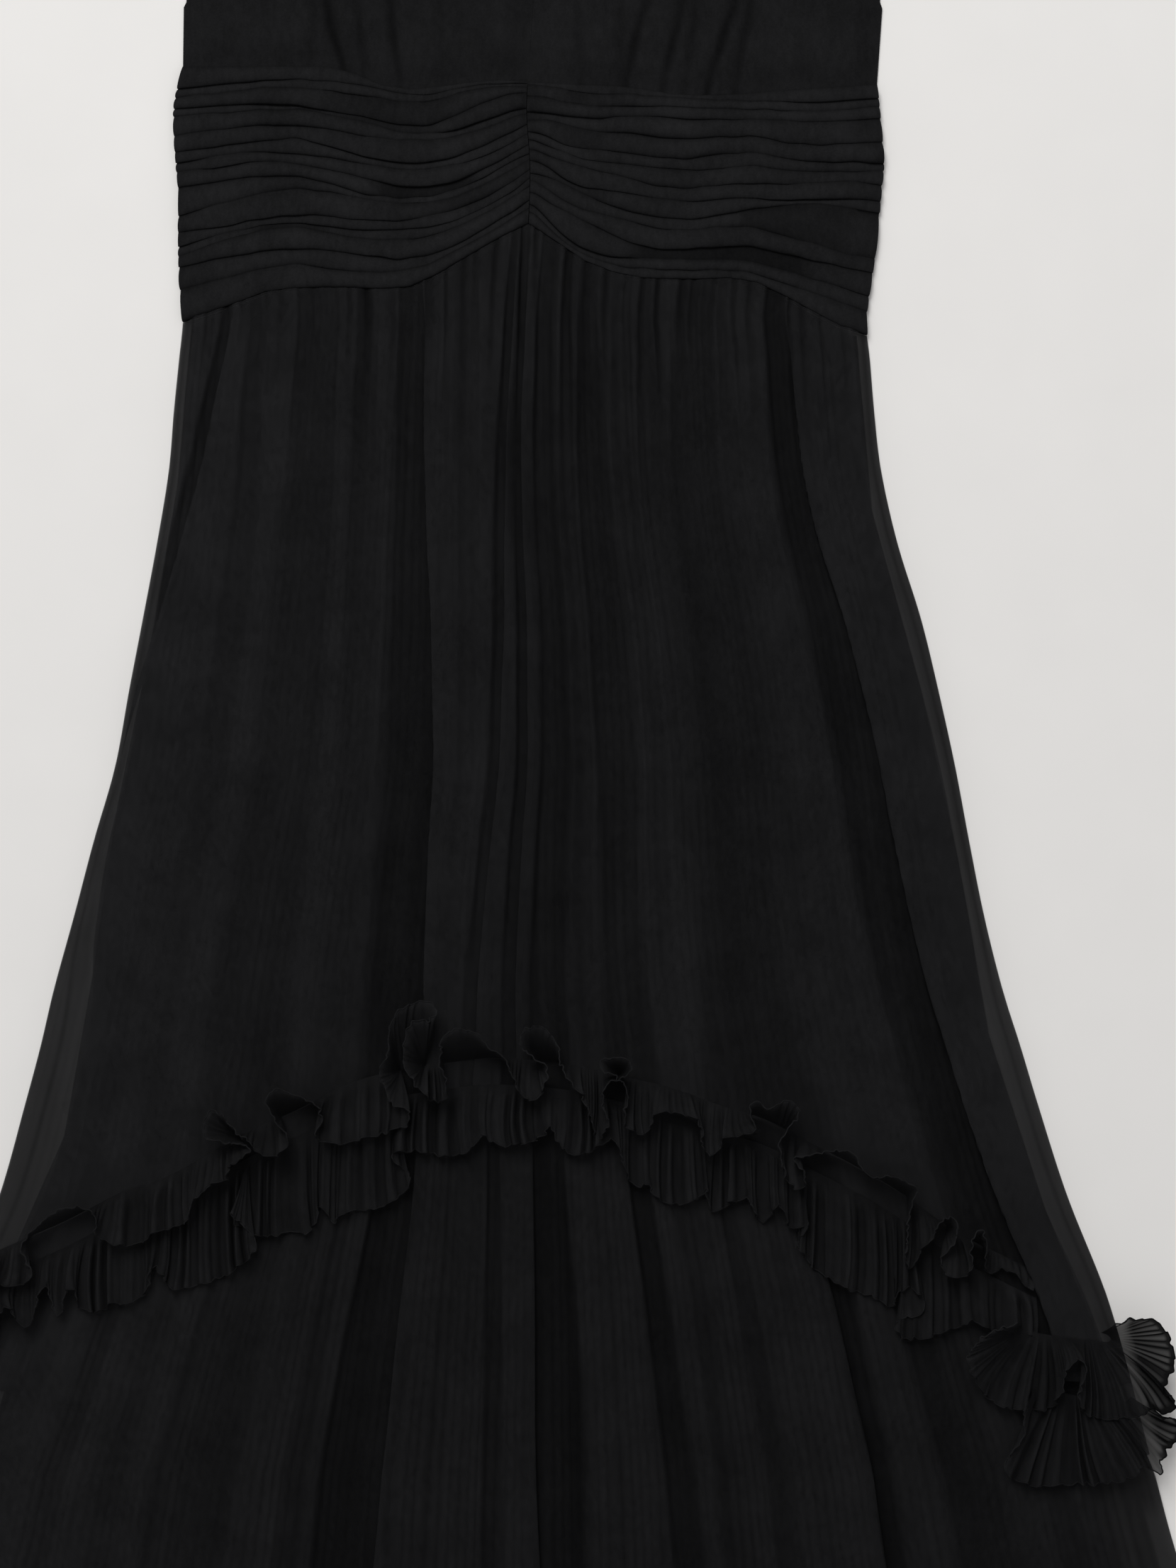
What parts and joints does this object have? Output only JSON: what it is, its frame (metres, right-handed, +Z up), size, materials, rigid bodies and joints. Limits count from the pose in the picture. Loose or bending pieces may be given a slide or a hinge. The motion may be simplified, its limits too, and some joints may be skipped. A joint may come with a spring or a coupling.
{
  "type": "maxi dress",
  "caption": "Sleeveless chiffon maxi dress laid flat, with a crosswise pleated waistband, a shorter frilled over-skirt and a long flared under-skirt.",
  "frame": {"origin": "on the surface that the dress lies on, under the middle of its outline", "axes": "+Y towards the neck, +Z up out of the surface through the dress's front, +X to the right seen from above"},
  "size_m": [0.92, 1.47, 0.0256],
  "materials": {
    "bodice_chiffon": "crinkled matt black chiffon",
    "band_chiffon": "pleated matt black chiffon",
    "skirt_chiffon": "sheer black chiffon with fine vertical crinkle pleats",
    "frill_chiffon": "sheer black chiffon in fine pressed pleats with a rolled edge",
    "lining_satin": "smooth black lining"
  },
  "bodies": {
    "root": {"bodice_front_left": "bodice_chiffon", "bodice_front_right": "bodice_chiffon", "bodice_back": "bodice_chiffon", "band_front_left": "band_chiffon", "band_front_right": "band_chiffon", "band_back": "band_chiffon", "over_skirt_front": "skirt_chiffon", "over_skirt_back": "skirt_chiffon", "frill_upper_front": "frill_chiffon", "frill_lower_front": "frill_chiffon", "frill_upper_back": "frill_chiffon", "frill_lower_back": "frill_chiffon", "under_skirt_front": "skirt_chiffon", "under_skirt_back": "skirt_chiffon", "lining": "lining_satin"}
  },
  "joints": []
}
